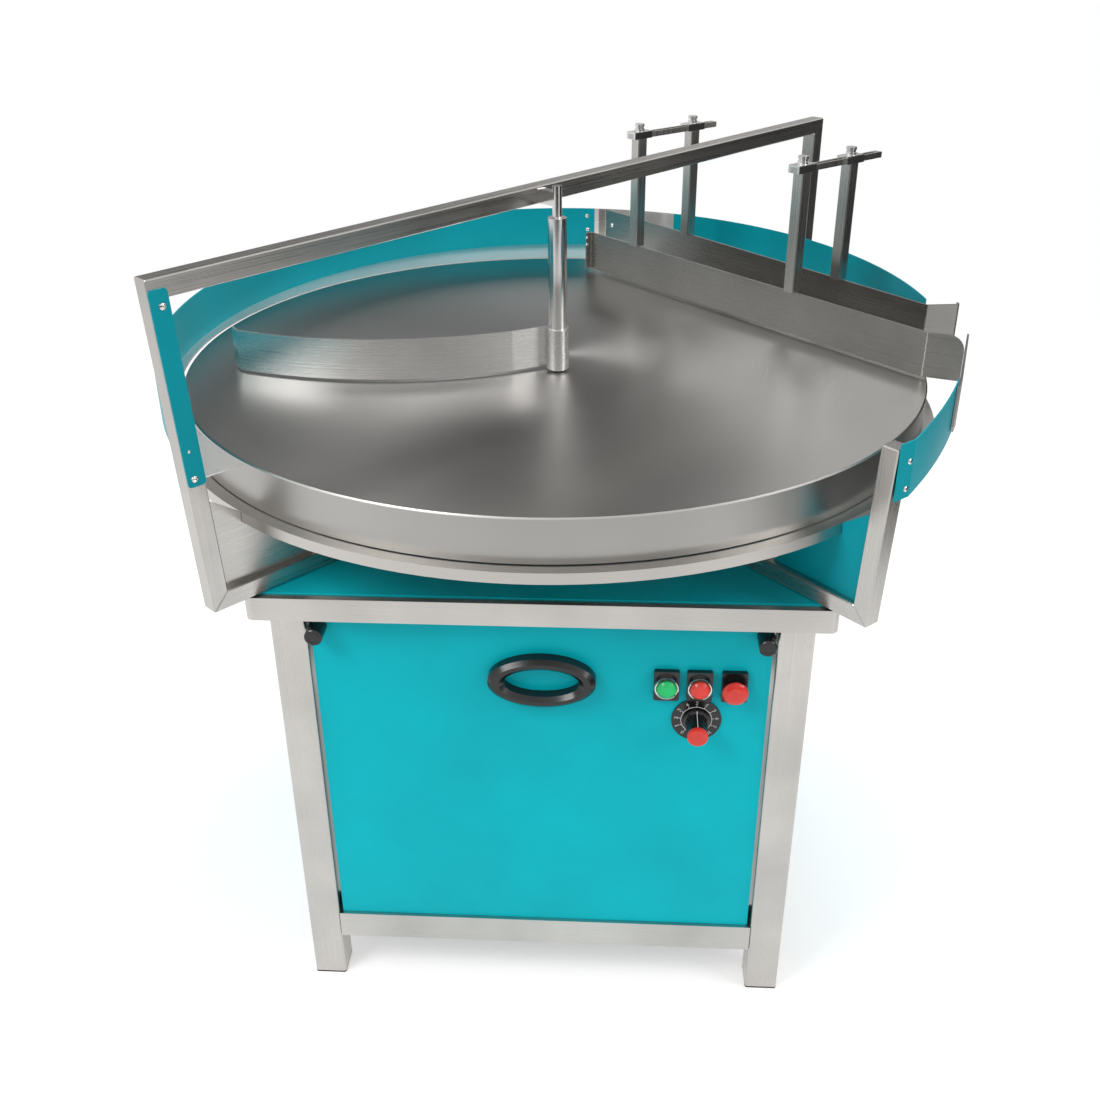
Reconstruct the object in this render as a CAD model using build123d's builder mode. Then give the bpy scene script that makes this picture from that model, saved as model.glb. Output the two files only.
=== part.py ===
from build123d import *
import os
from math import atan2, cos, degrees, hypot, radians, sin, sqrt, tan

os.makedirs("parts", exist_ok=True)

# Bottle unscrambler: a turntable on a cabinet base turns loose bottles out into a single lane.
# Millimetres. The origin is on the floor under the turntable's axis, +Z up, the control panel faces -Y.

# Fits
seat_gap = 0.3
running_gap = 0.05
tube = 25.0
sheet = 2.0
rail_sheet = 3.0

# Base frame
base_width = 750.0
base_depth = 850.0
leg_tube = 50.0
leg_wall = 2.5
leg_corner = 4.0
leg_top = 693.0
foot_height = 3.0
foot_plug = 20.0
bottom_rail_low = 84.0
bottom_rail_height = 47.0
frame_overhang = 25.0
frame_bar = 60.0
frame_height = 35.0
frame_corner = 12.0
plate_margin = 13.0
plate_corner = 4.0

# Cabinet panels and what is on the front one
panel_gap = 5.0
panel_inset = 6.0
panel_flange = 12.0
panel_corner = 3.0
panel_knob_inset = 11.0
panel_knob_drop = 25.5
panel_knob_diameter = 25.0
panel_knob_length = 33.0
stud_diameter = 8.0
lug_width = 30.0
handle_x = 2.0
handle_drop = 102.5
handle_width = 152.0
handle_height = 80.0
handle_opening = (107.0, 45.0)
handle_depth = 22.0
handle_round = 6.0
button_drop = 107.5
button_insets = (143.5, 97.4, 49.0)
button_block = (36.0, 48.0)
button_block_depth = 8.0
button_bezel_diameter = 34.0
button_bezel_depth = 7.0
button_diameter = 27.0
button_proud = 5.0
button_travel = 5.0
mushroom_head_diameter = 36.0
mushroom_head_depth = 11.0
mushroom_stem_diameter = 16.0
mushroom_travel = 4.0
mushroom_collar_depth = 5.0
dial_inset = 99.0
dial_drop = 167.5
dial_diameter = 71.0
speed_knob_base = 38.0
speed_knob_skirt = 6.0
speed_knob_waist = 32.0
speed_knob_tip = 26.0
speed_knob_length = 40.0
speed_shaft_diameter = 6.0

# Drive below the turntable
spindle_diameter = 40.0
spindle_low = 585.0
hub_diameter = 200.0
hub_depth = 12.0
shoulder_diameter = 70.0
pedestal_base_diameter = 220.0
pedestal_base_depth = 12.0
pedestal_body_diameter = 100.0
pedestal_top = 895.0
pulley_low = 590.0
pulley_height = 31.0
pulley_lip = 3.0
lip_depth = 6.0
driven_radius = 100.0
motor_pulley_radius = 40.0
belt_thickness = 5.0
motor_x = -215.0
motor_y = 60.0
gearbox_width = 110.0
gearbox_height = 86.0
motor_length = 210.0
output_shaft_diameter = 20.0
output_shaft_depth = 30.0
control_box_size = (280.0, 120.0, 220.0)
control_box_low = 330.0
gland_inset = 70.0
gland_z = 200.0
gland_thread_diameter = 20.0
gland_bore = 10.0

# Turntable, fixed ring and guard
disc_radius = 568.0
disc_top = 917.0
disc_sheet = 3.0
disc_edge = 2.0
skirt_height = 62.0
ring_overhang = 19.0
ring_width = 24.0
ring_low = 838.0
ring_height = 15.5
guard_margin_x = 19.0
guard_margin_y = 109.0
guard_low = 915.0
guard_height = 75.0
junction_start = 72.0
junction_end = 86.0
guard_exit_angle = 7.5
dead_plate_gap = 4.0

# Corner brackets and the gantry over the table
bracket_angle = degrees(atan2(450.0, 400.0))
front_lean = 2.8
spacer_length = 24.5
arm_inner = 300.0
short_upright_top = 982.0
beam_left_top = 1180.0
beam_right_top = 1195.0
web_thickness = 3.0
web_inner = 480.0
web_top = 886.0
tube_edge = 1.5
strip_thickness = 2.0
strip_corner = 5.0
spacer_height = 25.0

# Centre rod and diverter
rod_x = 8.0
rod_y = -65.0
rod_diameter = 28.0
rod_neck_diameter = 14.0
rod_neck_length = 45.0
rod_above = 6.0
standoff_height = 20.0
table_clearance = 2.0
blade_low = 921.0
blade_height = 62.0
blade_bow = ((-476.0, -93.5), (-224.0, -128.0), (-59.0, -84.0))
blade_return = (12.0, 18.0)
blade_meet_angle = 118.0

# Exit lane, laid along a line that runs from the rear to the exit
lane_angle = -48.5
rail_low = 921.7
rail_height = 68.3
rail_bend = 4.0
front_rail_n = 357.5
front_rail_start = -336.0
front_rail_turn = 431.0
front_rail_end = (478.5, 383.0)
rear_rail_seat_x = 70.0
rear_rail_turn = (350.0, 463.4)
rear_rail_end = (380.0, 506.0)
rail_tab = 14.0
lip = 12.0
lip_corner = 8.0
flare_corner = 24.0
horn_corner = 12.0
post = 20.0
post_height = 188.0
post_places = (-208.0, 166.0)
bar_width = 14.0
bar_height = 9.0
bar_end_n = 540.0
slot_width = 6.0
clamp_length = 40.0
clamp_width = 22.0
clamp_height = 12.0
bolt_diameter = 17.0
bolt_height = 12.0
bolt_waist = 1.2

# Separate guard piece at the front of the exit
front_flange = (10.0, 16.0)
front_guard_points = ((511.0, -376.0), (553.0, -276.0))
horn_overlap = 34.0

# Places worked out from the sizes above
leg_x = base_width / 2 - leg_tube / 2
leg_y = base_depth / 2 - leg_tube / 2
frame_low = leg_top
frame_top = frame_low + frame_height
plate_top = frame_top + sheet
arm_top = plate_top + tube
guard_top = guard_low + guard_height
ring_outer_radius = disc_radius + ring_overhang
ring_inner_radius = ring_outer_radius - ring_width
guard_half_width = disc_radius + guard_margin_x
guard_half_depth = disc_radius + guard_margin_y
dead_plate_radius = disc_radius + dead_plate_gap
panel_low = bottom_rail_low + bottom_rail_height + seat_gap
panel_top = frame_low - 2 * seat_gap
panel_height = panel_top - panel_low
front_face = -base_depth / 2 + panel_inset
panel_edge = base_width / 2 - leg_tube - panel_gap
panel_knob_x = panel_edge - panel_knob_inset
button_places = [panel_edge - inset for inset in button_insets]
dial_x = panel_edge - dial_inset
gland_x = panel_edge - gland_inset
hub_low = disc_top - disc_sheet - hub_depth
rail_top = rail_low + rail_height
post_top = rail_top + post_height
lane_cos = cos(radians(lane_angle))
lane_sin = sin(radians(lane_angle))
corner_angles = {
    "front_left": 180 + bracket_angle,
    "front_right": -bracket_angle,
    "rear_right": bracket_angle,
    "rear_left": 180 - bracket_angle,
}


def guard_reach(angle):
    """Distance from the axis to the guard's outer face along a plan angle."""
    across = cos(radians(angle)) / (guard_half_width + sheet)
    along = sin(radians(angle)) / (guard_half_depth + sheet)
    return 1 / hypot(across, along)


def lane_plane(height):
    """Plane at a height whose x runs down the lane to the exit and whose y runs to the rear."""
    return Plane(origin=(0, 0, height), x_dir=(lane_cos, lane_sin, 0), z_dir=(0, 0, 1))


def to_lane(x, y):
    """The lane coordinates of a plan point."""
    return (x * lane_cos + y * lane_sin, y * lane_cos - x * lane_sin)


def bracket_plane(angle):
    """Upright plane through the axis: x outward along the angle, y up."""
    turn = radians(angle)
    return Plane(origin=(0, 0, 0), x_dir=(cos(turn), sin(turn), 0), z_dir=(sin(turn), -cos(turn), 0))


def front_plane(depth):
    """Upright plane facing the operator at a distance in front of the front panel."""
    return Plane(origin=(0, front_face - depth, 0), x_dir=(1, 0, 0), z_dir=(0, -1, 0))


def turned_plane(x, z, depth):
    """Level plane through a control's axis: x to the right, y toward the operator."""
    return Plane(origin=(x, front_face - depth, z), x_dir=(1, 0, 0), z_dir=(0, 0, -1))


def sector(start, end):
    """Plan face between two angles, far larger than the table."""
    with BuildSketch(mode=Mode.PRIVATE) as slice_sketch:
        with BuildLine():
            arc = CenterArc((0, 0), 2 * base_depth, start, end - start)
            Polyline(arc @ 1, (0, 0), arc @ 0)
        make_face()
    return slice_sketch.sketch


def finish(piece, label):
    piece.part.label = label
    export_step(piece.part, f"parts/{label}.step")


# Legs with their plastic feet
for name, angle in corner_angles.items():
    side_x = 1 if "right" in name else -1
    side_y = 1 if "rear" in name else -1
    with BuildPart() as leg:
        with BuildSketch(Plane.XY.offset(foot_height)):
            with Locations((side_x * leg_x, side_y * leg_y)):
                RectangleRounded(leg_tube, leg_tube, leg_corner)
                Rectangle(leg_tube - 2 * leg_wall, leg_tube - 2 * leg_wall, mode=Mode.SUBTRACT)
        extrude(amount=leg_top - foot_height)
    finish(leg, f"leg_{name}")

with BuildPart() as foot_caps:
    with BuildSketch():
        with GridLocations(2 * leg_x, 2 * leg_y, 2, 2):
            RectangleRounded(leg_tube, leg_tube, leg_corner)
    extrude(amount=foot_height)
    with BuildSketch(Plane.XY.offset(foot_height)):
        with GridLocations(2 * leg_x, 2 * leg_y, 2, 2):
            plug_side = leg_tube - 2 * leg_wall - 2 * seat_gap
            Rectangle(plug_side, plug_side)
    extrude(amount=foot_plug)
finish(foot_caps, "foot_caps")

# Rails between the legs near the floor
rail_span_x = base_width - 2 * leg_tube
rail_span_y = base_depth - 2 * leg_tube
for name, place, size in (
    ("front", (0, -leg_y), (rail_span_x, leg_tube)),
    ("rear", (0, leg_y), (rail_span_x, leg_tube)),
    ("left", (-leg_x, 0), (leg_tube, rail_span_y)),
    ("right", (leg_x, 0), (leg_tube, rail_span_y)),
):
    with BuildPart() as bottom_rail:
        with BuildSketch(Plane.XY.offset(bottom_rail_low)):
            with Locations(place):
                Rectangle(*size)
        extrude(amount=bottom_rail_height)
    finish(bottom_rail, f"bottom_rail_{name}")

# Top frame
frame_width = base_width + 2 * frame_overhang
frame_depth = base_depth + 2 * frame_overhang
with BuildPart() as top_frame:
    with BuildSketch(Plane.XY.offset(frame_low)):
        RectangleRounded(frame_width, frame_depth, frame_corner)
        Rectangle(frame_width - 2 * frame_bar, frame_depth - 2 * frame_bar, mode=Mode.SUBTRACT)
    extrude(amount=frame_height)
finish(top_frame, "top_frame")

# Two lugs under the frame that the front panel's studs stop against
lug_face = front_face + sheet + panel_flange + seat_gap
with BuildPart() as panel_lugs:
    with BuildSketch(front_plane(front_face - lug_face)):
        with Locations(*[(side * panel_knob_x, frame_low - panel_knob_drop) for side in (-1, 1)]):
            Rectangle(lug_width, 2 * panel_knob_drop)
    extrude(amount=-rail_sheet)
finish(panel_lugs, "panel_lugs")

with BuildPart() as top_plate:
    with BuildSketch(Plane.XY.offset(frame_top)):
        RectangleRounded(frame_width - 2 * plate_margin, frame_depth - 2 * plate_margin, plate_corner)
        Circle(spindle_diameter / 2 + table_clearance, mode=Mode.SUBTRACT)
    extrude(amount=sheet)
finish(top_plate, "top_plate")

# Brackets: arms on the plate, mitred to uprights that stand outside the turntable
front_reach = guard_reach(180 + bracket_angle) + seat_gap
rear_reach = guard_reach(bracket_angle) + spacer_length


def inner_face(name, height):
    """Distance from the axis to an upright's inner face at a height."""
    if "rear" in name:
        return rear_reach
    return front_reach + (height - guard_low) * tan(radians(front_lean))


def outer_face(name, height):
    across = tube if "rear" in name else tube / cos(radians(front_lean))
    return inner_face(name, height) + across


for label, names in (
    ("bracket_arm_front_left", ("front_left",)),
    ("bracket_arm_front_right", ("front_right",)),
    ("bracket_arms_rear", ("rear_left", "rear_right")),
):
    with BuildPart() as arm:
        for name in names:
            with BuildSketch(bracket_plane(corner_angles[name])):
                with BuildLine():
                    Polyline(
                        (arm_inner, plate_top),
                        (outer_face(name, plate_top), plate_top),
                        (inner_face(name, arm_top), arm_top),
                        (arm_inner, arm_top),
                        close=True,
                    )
                make_face()
            extrude(amount=tube / 2, both=True)
        chamfer(arm.edges(), tube_edge)
    finish(arm, label)

for name in ("front_right", "rear_left"):
    with BuildPart() as upright:
        with BuildSketch(bracket_plane(corner_angles[name])):
            with BuildLine():
                Polyline(
                    (outer_face(name, plate_top), plate_top),
                    (outer_face(name, short_upright_top), short_upright_top),
                    (inner_face(name, short_upright_top), short_upright_top),
                    (inner_face(name, arm_top), arm_top),
                    close=True,
                )
            make_face()
        extrude(amount=tube / 2, both=True)
        chamfer(upright.edges(), tube_edge)
    finish(upright, f"upright_{name}")

# Gantry: the front left upright, the beam across the table and the rear right upright
left_out = outer_face("front_left", beam_left_top)
right_out = outer_face("rear_right", beam_right_top)
with BuildPart() as gantry:
    with BuildSketch(bracket_plane(bracket_angle)):
        with BuildLine():
            Polyline(
                (-outer_face("front_left", plate_top), plate_top),
                (-left_out, beam_left_top),
                (right_out, beam_right_top),
                (outer_face("rear_right", plate_top), plate_top),
                (inner_face("rear_right", arm_top), arm_top),
                (inner_face("rear_right", beam_right_top), beam_right_top - tube),
                (-inner_face("front_left", beam_left_top - tube), beam_left_top - tube),
                (-inner_face("front_left", arm_top), arm_top),
                close=True,
            )
        make_face()
    extrude(amount=tube / 2, both=True)
    chamfer(gantry.edges(), tube_edge)
finish(gantry, "gantry_frame")

# Gusset webs in the brackets, with a notch that the fixed ring sits in
ring_top = ring_low + ring_height
for label, names in (
    ("bracket_web_front_left", ("front_left",)),
    ("bracket_web_front_right", ("front_right",)),
    ("bracket_webs_rear", ("rear_left", "rear_right")),
):
    with BuildPart() as web:
        for name in names:
            with BuildSketch(bracket_plane(corner_angles[name])):
                with BuildLine():
                    Polyline(
                        (web_inner, arm_top),
                        (inner_face(name, arm_top), arm_top),
                        (inner_face(name, web_top), web_top),
                        (ring_outer_radius + seat_gap, ring_top),
                        (ring_outer_radius + seat_gap, ring_low),
                        (ring_inner_radius, ring_low),
                        close=True,
                    )
                make_face()
            extrude(amount=web_thickness / 2, both=True)
    finish(web, label)

# Teal cover strip down the gantry's front left upright
strip_low = guard_low
strip_high = beam_left_top - tube / 2
with BuildPart() as upright_strip:
    with BuildSketch(bracket_plane(bracket_angle).offset(tube / 2)) as strip_sketch:
        with BuildLine():
            Polyline(
                (-outer_face("front_left", strip_low), strip_low),
                (-outer_face("front_left", strip_high), strip_high),
                (-inner_face("front_left", strip_high), strip_high),
                (-inner_face("front_left", strip_low), strip_low),
                close=True,
            )
        make_face()
        fillet(strip_sketch.vertices(), strip_corner)
    extrude(amount=strip_thickness)
finish(upright_strip, "upright_strip")

# Fixed ring under the turntable's skirt
with BuildPart() as support_ring:
    with BuildSketch(Plane.XY.offset(ring_low)):
        Circle(ring_outer_radius)
        Circle(ring_inner_radius, mode=Mode.SUBTRACT)
    extrude(amount=ring_height)
finish(support_ring, "support_ring")

# Guard wall around the table, oval in plan and open at the exit
for label, start, end in (
    ("guard_rear_right", guard_exit_angle, junction_start),
    ("junction_plate", junction_start, junction_end),
    ("guard_left", junction_end, 180 + bracket_angle),
):
    with BuildPart() as guard:
        with BuildSketch(Plane.XY.offset(guard_low)):
            Ellipse(guard_half_width + sheet, guard_half_depth + sheet)
            Ellipse(guard_half_width, guard_half_depth, mode=Mode.SUBTRACT)
            add(sector(start, end), mode=Mode.INTERSECT)
        extrude(amount=guard_height)
    finish(guard, label)

with BuildPart() as dead_plate:
    with BuildSketch(Plane.XY.offset(disc_top - sheet)):
        Ellipse(guard_half_width, guard_half_depth)
        Circle(dead_plate_radius, mode=Mode.SUBTRACT)
        add(sector(guard_exit_angle, 180 + bracket_angle), mode=Mode.INTERSECT)
    extrude(amount=sheet)
finish(dead_plate, "dead_plate")

# Spacers between the guard and the two rear uprights
with BuildPart() as guard_spacers:
    for name in ("rear_left", "rear_right"):
        half_turn = degrees(atan2(tube / 2, rear_reach))
        bends = (corner_angles[name] - half_turn, corner_angles[name] + half_turn)
        near = max(guard_reach(bend) for bend in bends) + seat_gap
        far = inner_face(name, guard_top)
        with BuildSketch(bracket_plane(corner_angles[name])):
            with Locations(((near + far) / 2, guard_low + guard_height / 2)):
                Rectangle(far - near, spacer_height)
        extrude(amount=tube / 2 - table_clearance, both=True)
finish(guard_spacers, "guard_spacers")

# Separate guard piece, from a flange on the front right upright to the exit
flange_reach = outer_face("front_right", short_upright_top) + seat_gap
front_right_plane = bracket_plane(corner_angles["front_right"])
flange_start = front_right_plane.from_local_coords((flange_reach, 0, front_flange[0]))
flange_end = front_right_plane.from_local_coords((flange_reach, 0, -front_flange[1]))
flange_bend = (flange_end.X, flange_end.Y)
with BuildPart() as guard_front_right:
    with BuildSketch(Plane.XY.offset(guard_low)):
        with BuildLine():
            Line((flange_start.X, flange_start.Y), flange_bend)
            guard_arc = ThreePointArc(flange_bend, *front_guard_points)
            offset(amount=sheet, side=Side.RIGHT)
        make_face()
    extrude(amount=guard_height)
finish(guard_front_right, "guard_front_right")

# Turntable: a flat disc with a deep rolled skirt
with BuildPart() as turntable:
    with BuildSketch(Plane.XZ) as disc_profile:
        with BuildLine():
            Polyline(
                (0, disc_top),
                (disc_radius, disc_top),
                (disc_radius, disc_top - skirt_height),
                (disc_radius - disc_sheet, disc_top - skirt_height),
                (disc_radius - disc_sheet, disc_top - disc_sheet),
                (0, disc_top - disc_sheet),
                close=True,
            )
        make_face()
        rim = disc_profile.vertices().group_by(Axis.X)[-1].sort_by(Axis.Y)[-1]
        chamfer(rim, disc_edge)
    revolve(axis=Axis.Z)
finish(turntable, "turntable")

# Spindle with the flange that carries the disc
with BuildPart() as spindle:
    with BuildSketch(Plane.XZ):
        with BuildLine():
            Polyline(
                (0, spindle_low),
                (spindle_diameter / 2, spindle_low),
                (spindle_diameter / 2, pedestal_top + seat_gap),
                (shoulder_diameter / 2, pedestal_top + seat_gap),
                (shoulder_diameter / 2, hub_low),
                (hub_diameter / 2, hub_low),
                (hub_diameter / 2, hub_low + hub_depth),
                (0, hub_low + hub_depth),
                close=True,
            )
        make_face()
    revolve(axis=Axis.Z)
finish(spindle, "spindle")

with BuildPart() as pedestal:
    with BuildSketch(Plane.XY.offset(plate_top)):
        Circle(pedestal_base_diameter / 2)
    extrude(amount=pedestal_base_depth)
    with BuildSketch(Plane.XY.offset(plate_top)):
        Circle(pedestal_body_diameter / 2)
    extrude(amount=pedestal_top - plate_top)
    with BuildSketch(Plane.XY.offset(plate_top)):
        Circle(spindle_diameter / 2 + running_gap)
    extrude(amount=pedestal_top - plate_top, mode=Mode.SUBTRACT)
finish(pedestal, "pedestal_housing")


def pulley_profile(radius, bore):
    """Half section of a flat belt pulley with a lip at each side."""
    Polyline(
        (bore, pulley_low),
        (radius + lip_depth, pulley_low),
        (radius + lip_depth, pulley_low + pulley_lip),
        (radius, pulley_low + pulley_lip),
        (radius, pulley_low + pulley_height - pulley_lip),
        (radius + lip_depth, pulley_low + pulley_height - pulley_lip),
        (radius + lip_depth, pulley_low + pulley_height),
        (bore, pulley_low + pulley_height),
        close=True,
    )


with BuildPart() as driven_pulley:
    with BuildSketch(Plane.XZ):
        with BuildLine():
            pulley_profile(driven_radius, spindle_diameter / 2)
        make_face()
    revolve(axis=Axis.Z)
finish(driven_pulley, "driven_pulley")

# The small pulley stands under the gearbox, with its shaft going up into it
gearbox_low = frame_top - gearbox_height
shaft_top = gearbox_low + output_shaft_depth
with BuildPart() as motor_pulley:
    with BuildSketch(Plane(origin=(motor_x, motor_y, 0), x_dir=(1, 0, 0), z_dir=(0, -1, 0))):
        with BuildLine():
            pulley_profile(motor_pulley_radius, 0)
        make_face()
    revolve(axis=Axis((motor_x, motor_y, 0), (0, 0, 1)))
    with BuildSketch(Plane.XY.offset(pulley_low + pulley_height)):
        with Locations((motor_x, motor_y)):
            Circle(output_shaft_diameter / 2)
    extrude(amount=shaft_top - pulley_low - pulley_height)
finish(motor_pulley, "motor_pulley")


def belt_outline(clearance):
    """Plan face inside a belt line at a clearance from both pulleys."""
    with BuildSketch(mode=Mode.PRIVATE) as outline:
        Circle(driven_radius + clearance)
        with Locations((motor_x, motor_y)):
            Circle(motor_pulley_radius + clearance)
        make_hull()
    return outline.sketch


with BuildPart() as drive_belt:
    with BuildSketch(Plane.XY.offset(pulley_low + pulley_lip + seat_gap)):
        add(belt_outline(seat_gap + belt_thickness))
        add(belt_outline(seat_gap), mode=Mode.SUBTRACT)
    extrude(amount=pulley_height - 2 * pulley_lip - 2 * seat_gap)
finish(drive_belt, "drive_belt")

# Gearmotor hung under the top plate
motor_z = gearbox_low + gearbox_height / 2
motor_front = motor_y + gearbox_width / 2
with BuildPart() as gearmotor:
    with BuildSketch(Plane.XY.offset(gearbox_low)):
        with Locations((motor_x, motor_y)):
            RectangleRounded(gearbox_width, gearbox_width, frame_corner)
    extrude(amount=gearbox_height)
    with BuildSketch(Plane.XY.offset(gearbox_low)):
        with Locations((motor_x, motor_y)):
            Circle(output_shaft_diameter / 2 + running_gap)
    extrude(amount=output_shaft_depth + seat_gap, mode=Mode.SUBTRACT)
    with BuildSketch(Plane(origin=(motor_x, motor_front, motor_z), x_dir=(1, 0, 0), z_dir=(0, 1, 0))):
        Circle(gearbox_height / 2)
    extrude(amount=motor_length)
finish(gearmotor, "gearmotor")

# Centre rod, hung from the beam by a block beside it
beam_slope = (beam_right_top - beam_left_top) / (left_out + right_out)
beam_turn = radians(bracket_angle)
rod_along = rod_x * cos(beam_turn) + rod_y * sin(beam_turn)
rod_off = rod_x * sin(beam_turn) - rod_y * cos(beam_turn)
beam_top_at_rod = beam_left_top + (rod_along + left_out) * beam_slope
rod_top = beam_top_at_rod + rod_above
rod_foot = disc_top + table_clearance
with BuildPart() as centre_rod:
    with BuildSketch(Plane.XY.offset(rod_foot)):
        with Locations((rod_x, rod_y)):
            Circle(rod_diameter / 2)
    extrude(amount=rod_top - rod_neck_length - rod_foot)
    with BuildSketch(Plane.XY.offset(rod_top - rod_neck_length)):
        with Locations((rod_x, rod_y)):
            Circle(rod_neck_diameter / 2)
    extrude(amount=rod_neck_length)
    with BuildSketch(bracket_plane(bracket_angle).offset(tube / 2)):
        with Locations((rod_along, beam_top_at_rod - tube / 2)):
            Rectangle(rod_neck_diameter, standoff_height)
    extrude(amount=rod_off - tube / 2)
finish(centre_rod, "centre_rod")

# Diverter blade: bowed strip with a short return at its free end, ending in a sleeve round the rod
sleeve_bore = rod_diameter / 2 + running_gap
sleeve_meet = radians(blade_meet_angle)
with BuildPart() as diverter_blade:
    with BuildSketch(Plane.XY.offset(blade_low)):
        with BuildLine():
            Line((blade_bow[0][0] - blade_return[0], blade_bow[0][1] + blade_return[1]), blade_bow[0])
            bow = ThreePointArc(*blade_bow)
            Line(bow @ 1, (rod_x + sleeve_bore * cos(sleeve_meet), rod_y + sleeve_bore * sin(sleeve_meet)))
            offset(amount=rail_sheet, side=Side.LEFT)
        make_face()
        with Locations((rod_x, rod_y)):
            Circle(sleeve_bore + rail_sheet)
            Circle(sleeve_bore, mode=Mode.SUBTRACT)
    extrude(amount=blade_height)
finish(diverter_blade, "diverter_blade")

def sheet_edge(piece, level, place):
    """Short edge through a rail's sheet nearest a place, at the bottom (0) or the top (-1)."""
    short = piece.edges().filter_by(lambda edge: abs(edge.length - rail_sheet) < seat_gap)
    return short.group_by(Axis.Z)[level].sort_by_distance(place)[0]


# Front lane rail, and the horn plate behind its flare that reaches back to the separate guard piece
guard_tip = guard_arc @ 1
tip_run = guard_arc % 1
tip_out = Vector(tip_run.Y, -tip_run.X, 0)
horn_seat = sheet + seat_gap + rail_sheet
horn_heel = guard_tip - tip_run * horn_overlap + tip_out * horn_seat
horn_elbow = guard_tip + tip_out * horn_seat
flare_end = Vector(*front_rail_end)
elbow_place = Vector(*to_lane(horn_elbow.X, horn_elbow.Y))
horn_run = (elbow_place - flare_end).normalized()
horn_out = Vector(-horn_run.Y, horn_run.X)
horn_head = flare_end - horn_run * lip + horn_out * (rail_sheet + 2 * seat_gap)
with BuildPart() as front_lane_rail:
    with BuildSketch(lane_plane(rail_low)):
        with BuildLine():
            FilletPolyline(
                (front_rail_start, front_rail_n - rail_tab),
                (front_rail_start, front_rail_n),
                (front_rail_turn, front_rail_n),
                front_rail_end,
                radius=rail_bend,
            )
            offset(amount=rail_sheet, side=Side.RIGHT)
        make_face()
        with BuildLine():
            FilletPolyline(
                (horn_head.X, horn_head.Y),
                (elbow_place.X, elbow_place.Y),
                to_lane(horn_heel.X, horn_heel.Y),
                radius=rail_bend,
            )
            offset(amount=rail_sheet, side=Side.RIGHT)
        make_face()
    extrude(amount=rail_height)
    flare_top = lane_plane(rail_top).from_local_coords((flare_end.X, flare_end.Y, 0))
    fillet(sheet_edge(front_lane_rail, -1, flare_top), flare_corner)
    fillet(sheet_edge(front_lane_rail, 0, (horn_heel.X, horn_heel.Y, rail_low)), horn_corner)
finish(front_lane_rail, "front_lane_rail")

# Rear lane rail, from a tab on the junction plate to a flare with a short lip
def guard_inner_y(x):
    return guard_half_depth * sqrt(1 - (x / guard_half_width) ** 2)


tab_offset = seat_gap + rail_sheet
tab_root = (rear_rail_seat_x, guard_inner_y(rear_rail_seat_x) - tab_offset)
tab_tip = (rear_rail_seat_x - rail_tab, guard_inner_y(rear_rail_seat_x - rail_tab) - tab_offset)
rear_rail_root = to_lane(*tab_root)
with BuildPart() as rear_lane_rail:
    with BuildSketch(lane_plane(rail_low)):
        with BuildLine():
            FilletPolyline(
                to_lane(*tab_tip),
                rear_rail_root,
                rear_rail_turn,
                rear_rail_end,
                (rear_rail_end[0] - lip, rear_rail_end[1] + lip),
                radius=rail_bend,
            )
            offset(amount=rail_sheet, side=Side.LEFT)
        make_face()
    extrude(amount=rail_height)
    lip_end = lane_plane(rail_top).from_local_coords((rear_rail_end[0] - lip, rear_rail_end[1] + lip, 0))
    fillet(sheet_edge(rear_lane_rail, -1, lip_end), lip_corner)
finish(rear_lane_rail, "rear_lane_rail")


def rear_rail_n(place):
    """Where the rear rail runs across the lane at a place along it."""
    share = (place - rear_rail_root[0]) / (rear_rail_turn[0] - rear_rail_root[0])
    return rear_rail_root[1] + share * (rear_rail_turn[1] - rear_rail_root[1])


# Posts on the rails
with BuildPart() as front_lane_posts:
    with BuildSketch(lane_plane(rail_top)):
        with Locations(*[(place, front_rail_n) for place in post_places]):
            Rectangle(post, post)
    extrude(amount=post_height)
    chamfer(front_lane_posts.edges().filter_by(Axis.Z), tube_edge)
finish(front_lane_posts, "front_lane_posts")

with BuildPart() as rear_lane_posts:
    with BuildSketch(lane_plane(rail_top)):
        with Locations(*[(place, rear_rail_n(place)) for place in post_places]):
            Rectangle(post, post)
    extrude(amount=post_height - seat_gap)
    chamfer(rear_lane_posts.edges().filter_by(Axis.Z), tube_edge)
finish(rear_lane_posts, "rear_lane_posts")

# Slotted bars that set the lane's width, fixed to the front posts
bar_low = post_top
bar_start_n = front_rail_n - clamp_length / 2
with BuildPart() as width_bars:
    for place in post_places:
        with BuildSketch(lane_plane(bar_low)):
            with Locations((place, (bar_start_n + bar_end_n) / 2)):
                Rectangle(bar_width, bar_end_n - bar_start_n)
            slot_start = front_rail_n + clamp_length / 2 + slot_width
            slot_end = bar_end_n - bar_width
            with Locations((place, (slot_start + slot_end) / 2)):
                SlotOverall(slot_end - slot_start, slot_width, rotation=90, mode=Mode.SUBTRACT)
        extrude(amount=bar_height)
finish(width_bars, "width_bars")


# Low cap bolt with a waist, made at the origin and set on each clamp block
bolt_third = bolt_height / 3
with BuildPart() as clamp_bolt:
    with BuildSketch(Plane.XZ):
        with BuildLine():
            Polyline(
                (0, 0),
                (bolt_diameter / 2, 0),
                (bolt_diameter / 2, bolt_third),
                (bolt_diameter / 2 - bolt_waist, bolt_third),
                (bolt_diameter / 2 - bolt_waist, 2 * bolt_third),
                (bolt_diameter / 2, 2 * bolt_third),
                (bolt_diameter / 2, bolt_height),
                (0, bolt_height),
                close=True,
            )
        make_face()
    revolve(axis=Axis.Z)

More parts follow.
